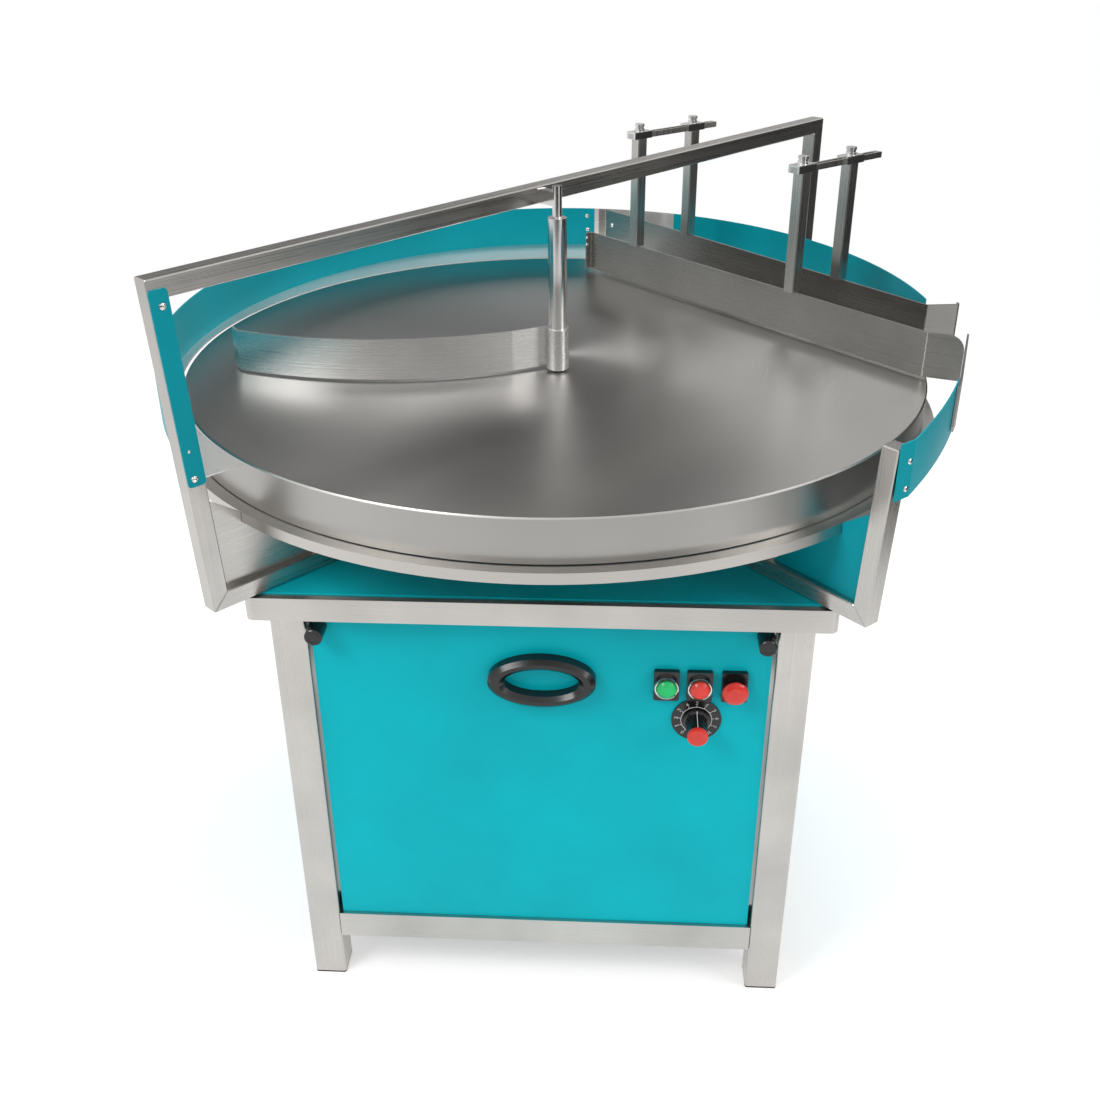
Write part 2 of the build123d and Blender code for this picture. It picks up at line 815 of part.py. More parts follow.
# Clamp blocks over the bars: fixed at the front, sliding with the rear rail at the back
for label, clearance in (("front_clamps", 0.0), ("rear_clamps", seat_gap)):
    with BuildPart() as clamps:
        for place in post_places:
            across = front_rail_n if clearance == 0 else rear_rail_n(place)
            base_height = bar_low - clearance
            with BuildSketch(lane_plane(base_height)):
                with Locations((place, across)):
                    Rectangle(clamp_width, clamp_length)
            extrude(amount=bar_low + clamp_height - base_height)
            with BuildSketch(lane_plane(base_height)):
                with Locations((place, across)):
                    Rectangle(bar_width + 2 * clearance, clamp_length)
            extrude(amount=bar_low + bar_height + clearance - base_height, mode=Mode.SUBTRACT)
            with Locations(lane_plane(bar_low + clamp_height).from_local_coords((place, across, 0))):
                add(clamp_bolt.part)
    finish(clamps, label)

# Cabinet panels: shallow trays set back from the legs' faces
def tray(plane, width, height):
    """Tray panel whose face is on the plane, with flanges behind it."""
    with BuildPart(mode=Mode.PRIVATE) as panel:
        with BuildSketch(plane):
            RectangleRounded(width, height, panel_corner)
        extrude(amount=-(sheet + panel_flange))
        with BuildSketch(plane.offset(-sheet)):
            Rectangle(width - 2 * sheet, height - 2 * sheet)
        extrude(amount=-panel_flange, mode=Mode.SUBTRACT)
    return panel.part


panel_middle = (panel_low + panel_top) / 2
front_width = base_width - 2 * leg_tube - 2 * panel_gap
side_width = base_depth - 2 * leg_tube - 2 * panel_gap
stud_gap = stud_diameter / 2 + running_gap
button_z = frame_low - button_drop
dial_z = frame_low - dial_drop
knob_z = frame_low - panel_knob_drop
front_tray = tray(Plane((0, front_face, panel_middle), (1, 0, 0), (0, -1, 0)), front_width, panel_height)
with BuildPart() as front_panel:
    add(front_tray)
    with BuildSketch(front_plane(0)):
        with Locations((-panel_knob_x, knob_z), (panel_knob_x, knob_z)):
            Circle(stud_gap)
        with Locations((dial_x, dial_z)):
            Circle(speed_shaft_diameter / 2 + running_gap)
    extrude(amount=-sheet, mode=Mode.SUBTRACT)
finish(front_panel, "front_panel")

for label, side in (("left_side_panel", -1), ("right_side_panel", 1)):
    side_face = side * (base_width / 2 - panel_inset)
    side_plane = Plane((side_face, 0, panel_middle), (0, side, 0), (side, 0, 0))
    side_tray = tray(side_plane, side_width, panel_height)
    with BuildPart() as side_panel:
        add(side_tray)
    finish(side_panel, label)

rear_face = -front_face
back_tray = tray(Plane((0, rear_face, panel_middle), (-1, 0, 0), (0, 1, 0)), front_width, panel_height)
with BuildPart() as back_panel:
    add(back_tray)
    with BuildSketch(Plane((0, rear_face, 0), (-1, 0, 0), (0, 1, 0))):
        with Locations((-gland_x, gland_z)):
            Circle(gland_thread_diameter / 2)
    extrude(amount=-sheet, mode=Mode.SUBTRACT)
finish(back_panel, "back_panel")

# Cable gland through the back panel, with its lock nut inside
gland_nut = 24.0
gland_depth = 6.0


def gland_plane(behind):
    """Upright plane at the gland, facing the rear, at a distance behind the back panel."""
    return Plane((gland_x, rear_face + behind, gland_z), (-1, 0, 0), (0, 1, 0))


with BuildPart() as cable_gland:
    with BuildSketch(gland_plane(0)):
        RegularPolygon(gland_nut / 2, 6, major_radius=False)
    extrude(amount=gland_depth)
    with BuildSketch(gland_plane(gland_depth)):
        Circle(gland_thread_diameter / 2)
    extrude(amount=2 * gland_depth, taper=12)
    with BuildSketch(gland_plane(0)):
        Circle(gland_thread_diameter / 2)
    extrude(amount=-sheet)
    with BuildSketch(gland_plane(-sheet)):
        RegularPolygon(gland_nut / 2, 6, major_radius=False)
    extrude(amount=-gland_depth)
    with BuildSketch(gland_plane(-sheet - gland_depth)):
        Circle(gland_bore / 2)
    extrude(amount=sheet + 4 * gland_depth, mode=Mode.SUBTRACT)
finish(cable_gland, "cable_gland")

# Control box on the inside of the back panel
with BuildPart() as control_box:
    with BuildSketch(Plane.XY.offset(control_box_low)):
        with Locations((0, rear_face - sheet - control_box_size[1] / 2)):
            Rectangle(control_box_size[0], control_box_size[1])
    extrude(amount=control_box_size[2])
    fillet(control_box.edges().group_by(Axis.Y)[0], panel_corner)
finish(control_box, "control_box")

# Knobs that hold the front panel
for label, side in (("left_panel_knob", -1), ("right_panel_knob", 1)):
    with BuildPart() as panel_knob:
        with BuildSketch(front_plane(seat_gap)):
            with Locations((side * panel_knob_x, knob_z)):
                Circle(panel_knob_diameter / 2)
        extrude(amount=panel_knob_length)
        chamfer(panel_knob.edges().group_by(Axis.Y)[0], 1.5)
        with BuildSketch(front_plane(seat_gap)):
            with Locations((side * panel_knob_x, knob_z)):
                Circle(stud_diameter / 2)
        extrude(amount=-(seat_gap + sheet + panel_flange))
    finish(panel_knob, label)

# Oval ring handle
with BuildPart() as panel_handle:
    with BuildSketch(front_plane(0)):
        with Locations((handle_x, frame_low - handle_drop)):
            Ellipse(handle_width / 2, handle_height / 2)
            Ellipse(handle_opening[0] / 2, handle_opening[1] / 2, mode=Mode.SUBTRACT)
    extrude(amount=handle_depth)
    chamfer(panel_handle.edges().group_by(Axis.Y)[0], handle_round)
finish(panel_handle, "panel_handle")

# Switch blocks with their collars
with BuildPart() as switch_blocks:
    with BuildSketch(front_plane(0)):
        with Locations(*[(place, button_z) for place in button_places]):
            RectangleRounded(*button_block, panel_corner)
    extrude(amount=button_block_depth)
    with BuildSketch(front_plane(button_block_depth)):
        with Locations(*[(place, button_z) for place in button_places[:2]]):
            Circle(button_bezel_diameter / 2)
    extrude(amount=button_bezel_depth)
    with BuildSketch(front_plane(button_block_depth)):
        with Locations((button_places[2], button_z)):
            Circle(button_bezel_diameter / 2)
    extrude(amount=mushroom_collar_depth)
    with BuildSketch(front_plane(0)):
        with Locations(*[(place, button_z) for place in button_places[:2]]):
            Circle(button_diameter / 2 + running_gap)
        with Locations((button_places[2], button_z)):
            Circle(mushroom_stem_diameter / 2 + running_gap)
    extrude(amount=button_block_depth + button_bezel_depth, mode=Mode.SUBTRACT)
finish(switch_blocks, "switch_blocks")

# Push buttons
button_rest = seat_gap + button_travel
for label, place in zip(("start_button", "stop_button"), button_places):
    with BuildPart() as button:
        with BuildSketch(front_plane(button_rest)):
            with Locations((place, button_z)):
                Circle(button_diameter / 2)
        extrude(amount=button_block_depth + button_bezel_depth + button_proud - button_rest)
        chamfer(button.edges().group_by(Axis.Y)[0], button_proud / 2)
    finish(button, label)

mushroom_seat = button_block_depth + mushroom_collar_depth + mushroom_travel + seat_gap
with BuildPart() as emergency_button:
    with BuildSketch(front_plane(mushroom_travel + seat_gap)):
        with Locations((button_places[2], button_z)):
            Circle(mushroom_stem_diameter / 2)
    extrude(amount=mushroom_seat - mushroom_travel - seat_gap)
    with BuildSketch(turned_plane(button_places[2], button_z, mushroom_seat)):
        with BuildLine():
            head = mushroom_head_diameter / 2
            step = mushroom_head_depth / 8
            Polyline(
                (0, 0),
                (head - step, 0),
                (head, 2 * step),
                (head, 4 * step),
                (head - 1.5 * step, 6 * step),
                (head - 4.5 * step, 7.5 * step),
                (0, 8 * step),
                close=True,
            )
        make_face()
    revolve(axis=Axis((button_places[2], 0, button_z), (0, -1, 0)))
finish(emergency_button, "emergency_button")

# Speed dial and its knob
with BuildPart() as dial_plate:
    with BuildSketch(front_plane(0)):
        with Locations((dial_x, dial_z)):
            Circle(dial_diameter / 2)
            Circle(speed_shaft_diameter / 2 + running_gap, mode=Mode.SUBTRACT)
    extrude(amount=sheet)
finish(dial_plate, "dial_plate")

with BuildPart() as speed_knob:
    with BuildSketch(turned_plane(dial_x, dial_z, sheet + seat_gap)):
        with BuildLine():
            Polyline(
                (0, -(2 * sheet + panel_flange)),
                (speed_shaft_diameter / 2, -(2 * sheet + panel_flange)),
                (speed_shaft_diameter / 2, 0),
                (speed_knob_base / 2, 0),
                (speed_knob_base / 2, speed_knob_skirt),
                (speed_knob_waist / 2, speed_knob_skirt + sheet),
                (speed_knob_tip / 2, speed_knob_length),
                (0, speed_knob_length),
                close=True,
            )
        make_face()
    revolve(axis=Axis((dial_x, 0, dial_z), (0, -1, 0)))
finish(speed_knob, "speed_knob")
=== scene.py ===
import math

import bmesh
import bpy
from mathutils import Matrix, Vector


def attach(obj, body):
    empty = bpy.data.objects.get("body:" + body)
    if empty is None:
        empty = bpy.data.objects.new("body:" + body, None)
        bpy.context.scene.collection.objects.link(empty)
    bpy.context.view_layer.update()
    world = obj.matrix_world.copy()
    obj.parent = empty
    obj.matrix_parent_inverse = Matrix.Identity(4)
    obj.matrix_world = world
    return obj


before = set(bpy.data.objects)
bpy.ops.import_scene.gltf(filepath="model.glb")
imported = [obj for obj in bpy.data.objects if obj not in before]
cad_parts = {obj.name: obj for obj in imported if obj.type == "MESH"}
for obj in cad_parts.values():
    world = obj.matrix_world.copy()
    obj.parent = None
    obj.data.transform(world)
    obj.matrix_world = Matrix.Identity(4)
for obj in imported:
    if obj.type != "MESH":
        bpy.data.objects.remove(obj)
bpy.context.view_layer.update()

# Camera at the photograph's angle: metres, radians, and millimetres for lens and sensor
CAMERA_PLACE = (0.0970, -1.8517, 1.5732)
CAMERA_YAW = -0.0575
CAMERA_PITCH = 0.4973
CAMERA_ROLL = -0.0071
CAMERA_LENS = 40.28
SENSOR = 36.0

# Colours, linear
TEAL = (0.0, 0.33, 0.40)
# Brighter teal of the panels; on the top plate it is painted light, lifting the plate out of the shade under
# the disc
TEAL_BRIGHT = (0.0, 0.56, 0.65)
STEEL = (0.52, 0.50, 0.475)
# Darker copy of the steel for the lane rails: painted shade for their darker reflections
STEEL_PAINTED_SHADE = (0.36, 0.35, 0.335)
# Darker copy of the steel for the disc: painted shade standing in for the dark reflections on its top
DISC_PAINTED_SHADE = (0.40, 0.39, 0.375)
# Brighter copy of the steel; on the diverter blade it is a painted highlight
STEEL_BRIGHT = (0.72, 0.71, 0.70)
# Pale copy of the steel for the dead and junction plates: painted highlight for the glare that washes them
# out
STEEL_PAINTED_HIGHLIGHT = (0.84, 0.82, 0.80)
BLACK = (0.010, 0.010, 0.011)
PAD_BLACK = (0.012, 0.012, 0.012)
BELT_BLACK = (0.02, 0.02, 0.02)
CAST_GREY = (0.16, 0.16, 0.165)
MOTOR_GREY = (0.10, 0.12, 0.15)
BOX_GREY = (0.55, 0.56, 0.55)
PRINT_WHITE = (0.85, 0.85, 0.85)
FLOOR_WHITE = (0.82, 0.82, 0.82)
GREEN = (0.0, 0.60, 0.16)
RED = (0.86, 0.045, 0.028)

# The exit lane and the corner brackets stand skew to the frame
LANE_TURN = math.radians(-48.5)
LANE_ALONG = Vector((math.cos(LANE_TURN), math.sin(LANE_TURN), 0))
LANE_ACROSS = Vector((-math.sin(LANE_TURN), math.cos(LANE_TURN), 0))
BRACKET_RUN = (400.0, 450.0)
BRACKET_TURN = math.atan2(BRACKET_RUN[1], BRACKET_RUN[0])


def node(owner, kind, **values):
    """New shader node in a material or the world, with its settings."""
    made = owner.node_tree.nodes.new(kind)
    for key, value in values.items():
        setattr(made, key, value)
    return made


def link(owner, output, socket):
    owner.node_tree.links.new(output, socket)


def new_material(name, color, metallic, roughness):
    material = bpy.data.materials.new(name)
    material.use_nodes = True
    shader = material.node_tree.nodes["Principled BSDF"]
    shader.inputs["Base Color"].default_value = (*color, 1)
    shader.inputs["Metallic"].default_value = metallic
    shader.inputs["Roughness"].default_value = roughness
    return material, shader


def object_mapping(material, scale, turn=(0, 0, 0)):
    """Object coordinates, turned and scaled, for a pattern that lies fixed on the piece."""
    place = node(material, "ShaderNodeTexCoord")
    mapping = node(material, "ShaderNodeMapping", vector_type="TEXTURE")
    mapping.inputs["Rotation"].default_value = turn
    mapping.inputs["Scale"].default_value = [1 / share for share in scale]
    link(material, place.outputs["Object"], mapping.inputs["Vector"])
    return mapping.outputs["Vector"]


def noise(material, scale, turn=(0, 0, 0), density=1.0, detail=2.0):
    made = node(material, "ShaderNodeTexNoise")
    made.inputs["Scale"].default_value = density
    made.inputs["Detail"].default_value = detail
    link(material, object_mapping(material, scale, turn), made.inputs["Vector"])
    return made.outputs["Fac"]


# The part of a noise pattern's range that carries nearly all of it
NOISE_LOW = 0.3
NOISE_HIGH = 0.7


def vary_color(material, shader, value, color, dark, light):
    """Base colour that runs from a darker to a lighter tint with the value."""
    ramp = node(material, "ShaderNodeValToRGB")
    for element, position, factor in zip(ramp.color_ramp.elements, (NOISE_LOW, NOISE_HIGH), (dark, light)):
        element.position = position
        element.color = (*[min(1.0, channel * factor) for channel in color], 1)
    link(material, value, ramp.inputs["Fac"])
    link(material, ramp.outputs["Color"], shader.inputs["Base Color"])


def vary_roughness(material, shader, value, span):
    spread = node(material, "ShaderNodeMapRange")
    spread.inputs["From Min"].default_value = NOISE_LOW
    spread.inputs["From Max"].default_value = NOISE_HIGH
    spread.inputs["To Min"].default_value, spread.inputs["To Max"].default_value = span
    link(material, value, spread.inputs["Value"])
    link(material, spread.outputs["Result"], shader.inputs["Roughness"])


def bump(material, shader, value, strength, distance):
    made = node(material, "ShaderNodeBump")
    made.inputs["Strength"].default_value = strength
    made.inputs["Distance"].default_value = distance
    link(material, value, made.inputs["Height"])
    link(material, made.outputs["Normal"], shader.inputs["Normal"])


# Grains: noise scales that leave the scratches long on one axis, or level on upright sheets
ALONG_X = (3, 900, 900)
ALONG_Y = (900, 3, 900)
ALONG_Z = (900, 900, 3)
LEVEL = (3, 3, 900)
ALONG_BRACKET = (0, 0, BRACKET_TURN)
ACROSS_BRACKET = (0, 0, -BRACKET_TURN)
# The same scale on every axis, for grains and clouds without a direction
EVEN = (1, 1, 1)
SOFT_CLOUDS = (4, 4, 4)
COAT_CLOUDS = (5, 5, 5)
METAL_CLOUDS = (7, 7, 7)
PLASTIC_CLOUDS = (30, 30, 30)
# Densities of the fine grains, and of the rings on turned metal
CAST_DENSITY = 300.0
RING_DENSITY = 420.0
PEEL_DENSITY = 650.0
PLASTIC_DENSITY = 900.0
# Height where the gantry's beam begins, in metres
BEAM_LOW = 1.15


def upright_scratches(material, scratches, height):
    """The given scratches above a height, and upright ones below it."""
    place = node(material, "ShaderNodeTexCoord")
    split = node(material, "ShaderNodeSeparateXYZ")
    link(material, place.outputs["Object"], split.inputs["Vector"])
    above = node(material, "ShaderNodeMath", operation="GREATER_THAN")
    above.inputs[1].default_value = height
    link(material, split.outputs["Z"], above.inputs[0])
    choice = node(material, "ShaderNodeMix")
    link(material, above.outputs["Value"], choice.inputs["Factor"])
    link(material, noise(material, ALONG_Z, detail=3.0), choice.inputs["A"])
    link(material, scratches, choice.inputs["B"])
    return choice.outputs["Result"]


def brushed_metal(name, color, grain, turn=(0, 0, 0), roughness=(0.24, 0.36), upright_below=None):
    """Metal with fine scratches along the axis that the grain leaves long, or upright below a height."""
    material, shader = new_material(name, color, metallic=1.0, roughness=0.3)
    scratches = noise(material, grain, turn, detail=3.0)
    if upright_below is not None:
        scratches = upright_scratches(material, scratches, upright_below)
    clouds = noise(material, METAL_CLOUDS)
    vary_color(material, shader, clouds, color, dark=0.88, light=1.08)
    vary_roughness(material, shader, scratches, roughness)
    bump(material, shader, scratches, strength=0.10, distance=0.0002)
    return material


def turned_metal(name, color, roughness=(0.28, 0.33), anisotropy=0.7):
    """Metal brushed in circles about the vertical axis through the piece's origin."""
    material, shader = new_material(name, color, metallic=1.0, roughness=0.3)
    place = node(material, "ShaderNodeTexCoord")
    flat = node(material, "ShaderNodeVectorMath", operation="MULTIPLY")
    flat.inputs[1].default_value = (1, 1, 0)
    link(material, place.outputs["Object"], flat.inputs[0])
    reach = node(material, "ShaderNodeVectorMath", operation="LENGTH")
    link(material, flat.outputs["Vector"], reach.inputs[0])
    rings = node(material, "ShaderNodeTexNoise", noise_dimensions="1D")
    rings.inputs["Scale"].default_value = RING_DENSITY
    rings.inputs["Detail"].default_value = 3.0
    link(material, reach.outputs["Value"], rings.inputs["W"])
    clouds = noise(material, SOFT_CLOUDS)
    vary_color(material, shader, clouds, color, dark=0.93, light=1.05)
    vary_roughness(material, shader, rings.outputs["Fac"], roughness)
    bump(material, shader, rings.outputs["Fac"], strength=0.02, distance=0.0001)
    tangent = node(material, "ShaderNodeTangent", direction_type="RADIAL", axis="Z")
    link(material, tangent.outputs["Tangent"], shader.inputs["Tangent"])
    shader.inputs["Anisotropic"].default_value = anisotropy
    return material


def powder_coat(name, color, roughness=(0.32, 0.44)):
    """Powder coat with a fine orange peel and slight cloudiness."""
    material, shader = new_material(name, color, metallic=0.0, roughness=0.35)
    shader.inputs["Specular IOR Level"].default_value = 0.15
    peel = noise(material, EVEN, density=PEEL_DENSITY)
    clouds = noise(material, COAT_CLOUDS, detail=3.0)
    vary_color(material, shader, clouds, color, dark=0.92, light=1.06)
    vary_roughness(material, shader, clouds, roughness)
    bump(material, shader, peel, strength=0.10, distance=0.0002)
    return material


def moulded_plastic(name, color, roughness=(0.16, 0.26)):
    """Plastic or rubber with a very fine grain."""
    material, shader = new_material(name, color, metallic=0.0, roughness=0.2)
    grain = noise(material, EVEN, density=PLASTIC_DENSITY)
    clouds = noise(material, PLASTIC_CLOUDS)
    vary_color(material, shader, clouds, color, dark=0.85, light=1.15)
    vary_roughness(material, shader, clouds, roughness)
    bump(material, shader, grain, strength=0.05, distance=0.0001)
    return material


def cast_metal(name, color):
    """Cast surface with a coarse grain."""
    material, shader = new_material(name, color, metallic=0.6, roughness=0.5)
    grain = noise(material, EVEN, density=CAST_DENSITY, detail=4.0)
    vary_color(material, shader, grain, color, dark=0.7, light=1.2)
    vary_roughness(material, shader, grain, (0.4, 0.6))
    bump(material, shader, grain, strength=0.3, distance=0.0005)
    return material


STEEL_X = brushed_metal("steel_along_x", STEEL, ALONG_X)
STEEL_Y = brushed_metal("steel_along_y", STEEL, ALONG_Y)
STEEL_Z = brushed_metal("steel_upright", STEEL, ALONG_Z)
# The lane rails' darker base colour is painted shade
STEEL_LANE_SHADED = brushed_metal("steel_lane_shaded", STEEL_PAINTED_SHADE, LEVEL)
STEEL_DIAGONAL = brushed_metal("steel_diagonal", STEEL, ALONG_X, ALONG_BRACKET)
STEEL_GANTRY = brushed_metal("steel_gantry", STEEL, ALONG_X, ALONG_BRACKET, upright_below=BEAM_LOW)
STEEL_CROSS = brushed_metal("steel_cross", STEEL, ALONG_X, ACROSS_BRACKET)
# Painted highlight: the blade's steel is made brighter than the rest
STEEL_BLADE_HIGHLIGHT = brushed_metal("steel_blade_highlight", STEEL_BRIGHT, LEVEL)
STEEL_POLISHED = brushed_metal("steel_polished", STEEL_BRIGHT, ALONG_Z, roughness=(0.08, 0.18))
STEEL_CLAMP = brushed_metal("steel_clamp", STEEL_BRIGHT, ALONG_Z, roughness=(0.15, 0.3))
# The plates' pale base colour is a painted highlight
STEEL_PLATE_HIGHLIGHT = turned_metal("steel_plate_highlight", STEEL_PAINTED_HIGHLIGHT, roughness=(0.40, 0.48), anisotropy=0.0)
# The disc's darker base colour is painted shade
STEEL_DISC_SHADED = turned_metal("steel_disc_shaded", DISC_PAINTED_SHADE)
STEEL_RIM = turned_metal("steel_rim", STEEL, anisotropy=0.3)
TEAL_GUARD = powder_coat("teal_guard", TEAL)
TEAL_PANEL_AND_PAINTED_LIGHT = powder_coat("teal_panel", TEAL_BRIGHT)
MOTOR_ENAMEL = powder_coat("motor_enamel", MOTOR_GREY)
BOX_ENAMEL = powder_coat("box_enamel", BOX_GREY)
PLASTIC_BLACK = moulded_plastic("black_plastic", BLACK)
PLASTIC_GREEN = moulded_plastic("green_plastic", GREEN)
PLASTIC_RED = moulded_plastic("red_plastic", RED)
PLASTIC_WHITE = moulded_plastic("white_print", PRINT_WHITE, (0.4, 0.5))
RUBBER_PAD = moulded_plastic("rubber_pad", PAD_BLACK, (0.5, 0.65))
CAST = cast_metal("cast", CAST_GREY)
RUBBER_BELT = cast_metal("belt", BELT_BLACK)

FINISHES = {
    STEEL_Z: ("leg_front_left", "leg_front_right", "leg_rear_left", "leg_rear_right",
              "upright_front_right", "upright_rear_left", "front_lane_posts", "rear_lane_posts",
              "width_bars"),
    STEEL_X: ("bottom_rail_front", "bottom_rail_rear", "top_frame"),
    STEEL_Y: ("bottom_rail_left", "bottom_rail_right"),
    STEEL_BLADE_HIGHLIGHT: ("diverter_blade",),
    STEEL_LANE_SHADED: ("front_lane_rail", "rear_lane_rail"),
    STEEL_GANTRY: ("gantry_frame",),
    STEEL_DIAGONAL: ("bracket_arm_front_left", "bracket_arms_rear", "bracket_web_front_left",
                     "bracket_webs_rear", "guard_spacers", "panel_lugs"),
    STEEL_CROSS: ("bracket_arm_front_right",),
    STEEL_DISC_SHADED: ("turntable",),
    STEEL_RIM: ("support_ring", "spindle"),
    STEEL_PLATE_HIGHLIGHT: ("dead_plate", "junction_plate"),
    STEEL_POLISHED: ("centre_rod",),
    STEEL_CLAMP: ("front_clamps", "rear_clamps"),
    TEAL_GUARD: ("guard_left", "guard_rear_right", "guard_front_right", "upright_strip",
                 "bracket_web_front_right"),
    # The top plate takes the brighter panel teal as painted light against the disc's shade
    TEAL_PANEL_AND_PAINTED_LIGHT: ("front_panel", "top_plate", "left_side_panel", "right_side_panel", "back_panel"),
    PLASTIC_BLACK: ("foot_caps", "left_panel_knob", "right_panel_knob", "panel_handle", "cable_gland",
                    "switch_blocks", "speed_knob", "dial_plate"),
    PLASTIC_GREEN: ("start_button",),
    PLASTIC_RED: ("stop_button", "emergency_button"),
    CAST: ("pedestal_housing", "driven_pulley", "motor_pulley"),
    RUBBER_BELT: ("drive_belt",),
    MOTOR_ENAMEL: ("gearmotor",),
    BOX_ENAMEL: ("control_box",),
}


def dress_nodes():
    for material, names in FINISHES.items():
        for name in names:
            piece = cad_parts[name]
            piece.data.materials.clear()
            piece.data.materials.append(material)


# Small pieces are built from points in millimetres
MM = 0.001
AS_BUILT = Matrix.Scale(MM, 4)
TURN_STEPS = 40


def seat(place, facing):
    """Carries a form built at the origin, facing up, to its place and the way it faces there."""
    turn = Vector(facing).normalized().to_track_quat("Z", "Y").to_matrix().to_4x4()
    return Matrix.Translation(Vector(place) * MM) @ turn @ AS_BUILT


def skin(builder, loops, ring=False):
    """Faces between loops of points, with flat ends, or joined last to first for a ring."""
    rows = [[builder.verts.new(point) for point in loop] for loop in loops]
    pairs = list(zip(rows, rows[1:]))
    if ring:
        pairs.append((rows[-1], rows[0]))
    else:
        builder.faces.new(list(reversed(rows[0])))
        builder.faces.new(rows[-1])
    for low, high in pairs:
        for step in range(len(low)):
            after = (step + 1) % len(low)
            builder.faces.new((low[step], low[after], high[after], high[step]))


def small_piece(name, skins, material, body, carry=AS_BUILT, ring=False):
    """Piece made of one or more skins, which stay where they are built or are carried to a seat."""
    builder = bmesh.new()
    for loops in skins:
        skin(builder, loops, ring)
    bmesh.ops.transform(builder, matrix=carry, verts=builder.verts)
    bmesh.ops.recalc_face_normals(builder, faces=builder.faces)
    mesh = bpy.data.meshes.new(name)
    builder.to_mesh(mesh)
    builder.free()
    mesh.materials.append(material)
    piece = bpy.data.objects.new(name, mesh)
    bpy.context.scene.collection.objects.link(piece)
    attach(piece, body)


def circle(radius, height, steps=TURN_STEPS):
    turns = [2 * math.pi * step / steps for step in range(steps)]
    return [(radius * math.cos(turn), radius * math.sin(turn), height) for turn in turns]


def hexagon(radius, height, steps):
    """Points on a hexagon's sides, in step with those of a circle."""
    half = math.pi / 6
    points = []
    for step in range(steps):
        turn = 2 * math.pi * step / steps
        reach = radius * math.cos(half) / math.cos(turn % (2 * half) - half)
        points.append((reach * math.cos(turn), reach * math.sin(turn), height))
    return points


# Button head screws with a hexagon socket: radius and height as shares of the head's own
SCREW_DOME = ((1.0, 0.0), (1.0, 0.25), (0.9, 0.65), (0.7, 0.9), (0.52, 1.0))
SCREW_SOCKET = ((0.42, 0.98), (0.40, 0.35))
SCREW_STEPS = 24
SCREW_RISE = 0.55
SCREW_SUNK = 0.3
STRIP_FACING = (0.747, -0.664, 0)
CORNER_FACING = (0.664, -0.747, 0)
JOINT_FACING = (-0.09, -0.996, 0)
REAR_TAB_FACING = (-0.775, -0.632, 0)
# Place, facing, radius and body
SCREWS = {
    "strip_screw_top": ((-425.3, -500.3, 1146.9), STRIP_FACING, 4.8, "base"),
    "strip_screw_low": ((-421.3, -495.8, 925.5), STRIP_FACING, 4.8, "base"),
    "strip_rivet": ((-422.5, -497.2, 963.0), STRIP_FACING, 2.2, "base"),
    "front_guard_screw_high": ((449.3, -490.9, 963.6), CORNER_FACING, 4.0, "base"),
    "front_guard_screw_low": ((448.5, -491.6, 927.5), CORNER_FACING, 4.0, "base"),
    "guard_end_screw_high": ((32.2, 675.9, 975.2), JOINT_FACING, 4.0, "base"),
    "guard_end_screw_low": ((33.5, 675.8, 948.0), JOINT_FACING, 4.0, "base"),
    "junction_rivet": ((54.8, 674.0, 960.2), JOINT_FACING, 3.0, "base"),
    "rail_tab_screw_high": ((37.6, 477.9, 980.7), CORNER_FACING, 3.0, "base"),
    "rail_tab_screw_low": ((37.7, 478.0, 968.0), CORNER_FACING, 3.0, "base"),
    "rear_rail_bolt": ((83.0, 653.0, 962.0), REAR_TAB_FACING, 4.5, "rear_lane"),
}


def add_screws():
    for name, (place, facing, radius, body) in SCREWS.items():
        rise = radius * SCREW_RISE
        loops = [circle(radius * share, rise * height - SCREW_SUNK, SCREW_STEPS)
                 for share, height in SCREW_DOME]
        loops += [hexagon(radius * share, rise * height - SCREW_SUNK, SCREW_STEPS)
                  for share, height in SCREW_SOCKET]
        small_piece(name, [loops], STEEL_POLISHED, body, seat(place, facing))


# Switches and knobs on the front panel; profiles are radius and height
FRONT = Vector((0, -1, 0))
PANEL_FACE = -419.0
BUTTON_HEIGHT = 585.5
COLLAR_PLACES = {"start_collar": 176.5, "stop_collar": 222.6}
COLLAR_PROFILE = ((13.9, 8.0), (17.6, 8.0), (17.6, 13.4), (16.9, 14.9), (15.4, 15.5), (14.2, 15.0),
                  (13.9, 14.2))
KNOB_PLACES = {"left_knob": -309.0, "right_knob": 309.0}
KNOB_FACE = -452.3
KNOB_HEIGHT = 667.5
KNOB_RING_PROFILE = ((7.2, -0.3), (8.6, -0.3), (8.6, 0.3), (8.3, 0.5), (7.5, 0.5), (7.2, 0.3))

# Dial with raised white print
DIAL_PLACE = Vector((221.0, -421.0, 525.5))
DIAL_CIRCLE = ((21.5, -0.1), (22.4, -0.1), (22.4, 0.15), (21.5, 0.15))
DIAL_SWEEP = math.radians(280)
DIAL_STEPS = 10
TICK = ((0, 23.2), (0, 24.6))
NUMERAL_REACH = 29.2
NUMERAL_SIZE = (2.8, 5.0)
NUMERAL_GRID = (2, 4)
STROKE = 0.95
DIGIT_GAP = 1.5 * STROKE
PRINT_SUNK = 0.1
PRINT_RISE = 0.2
